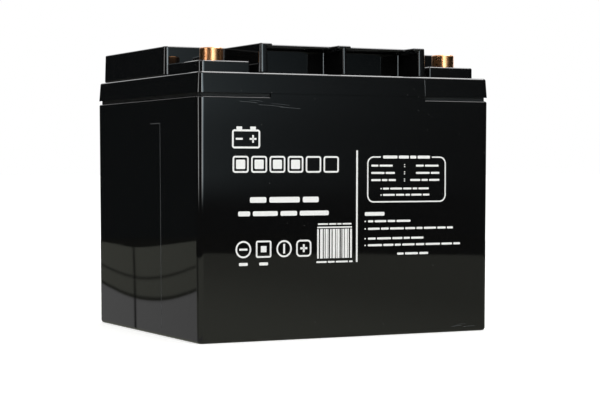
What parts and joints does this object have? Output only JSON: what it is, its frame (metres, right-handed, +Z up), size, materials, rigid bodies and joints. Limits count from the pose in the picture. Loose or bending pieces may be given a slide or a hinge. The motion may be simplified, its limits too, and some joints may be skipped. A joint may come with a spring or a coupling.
{
  "type": "rechargeable battery",
  "caption": "Sealed lead-acid battery with a raised top cover, round screw terminals in corner bays and finger pockets under a lip for lifting.",
  "frame": {"origin": "centre of the footprint, on the surface that it stands on", "axes": "+X along the front towards the positive terminal, +Y towards the back, +Z up"},
  "size_m": [0.1974, 0.1654, 0.1745],
  "materials": {
    "case_plastic": "glossy black moulded ABS",
    "terminal_metal": "turned copper alloy",
    "rubber": "matt black rubber",
    "resin": "poured black epoxy resin",
    "lead": "dull cast lead",
    "positive_paste": "dark brown lead dioxide paste on a cast grid",
    "glass_mat": "white absorbent glass mat"
  },
  "bodies": {
    "root": {"container": "case_plastic", "lid": "case_plastic", "top_cover": "case_plastic", "terminal_negative": "terminal_metal", "terminal_positive": "terminal_metal", "terminal_seal_negative": "rubber", "terminal_seal_positive": "rubber", "valve_cap_1": "rubber", "valve_cap_2": "rubber", "valve_cap_3": "rubber", "valve_cap_4": "rubber", "valve_cap_5": "rubber", "valve_cap_6": "rubber", "epoxy_seal_negative": "resin", "epoxy_seal_positive": "resin", "terminal_post_negative": "lead", "terminal_post_positive": "lead", "cell_link_1": "lead", "cell_link_2": "lead", "cell_link_3": "lead", "cell_link_4": "lead", "cell_link_5": "lead", "positive_strap_1": "lead", "positive_strap_2": "lead", "positive_strap_3": "lead", "positive_strap_4": "lead", "positive_strap_5": "lead", "positive_strap_6": "lead", "negative_strap_1": "lead", "negative_strap_2": "lead", "negative_strap_3": "lead", "negative_strap_4": "lead", "negative_strap_5": "lead", "negative_strap_6": "lead", "negative_plates_1": "lead", "negative_plates_2": "lead", "negative_plates_3": "lead", "negative_plates_4": "lead", "negative_plates_5": "lead", "negative_plates_6": "lead", "positive_plates_1": "positive_paste", "positive_plates_2": "positive_paste", "positive_plates_3": "positive_paste", "positive_plates_4": "positive_paste", "positive_plates_5": "positive_paste", "positive_plates_6": "positive_paste", "separators_1": "glass_mat", "separators_2": "glass_mat", "separators_3": "glass_mat", "separators_4": "glass_mat", "separators_5": "glass_mat", "separators_6": "glass_mat"}
  },
  "joints": []
}
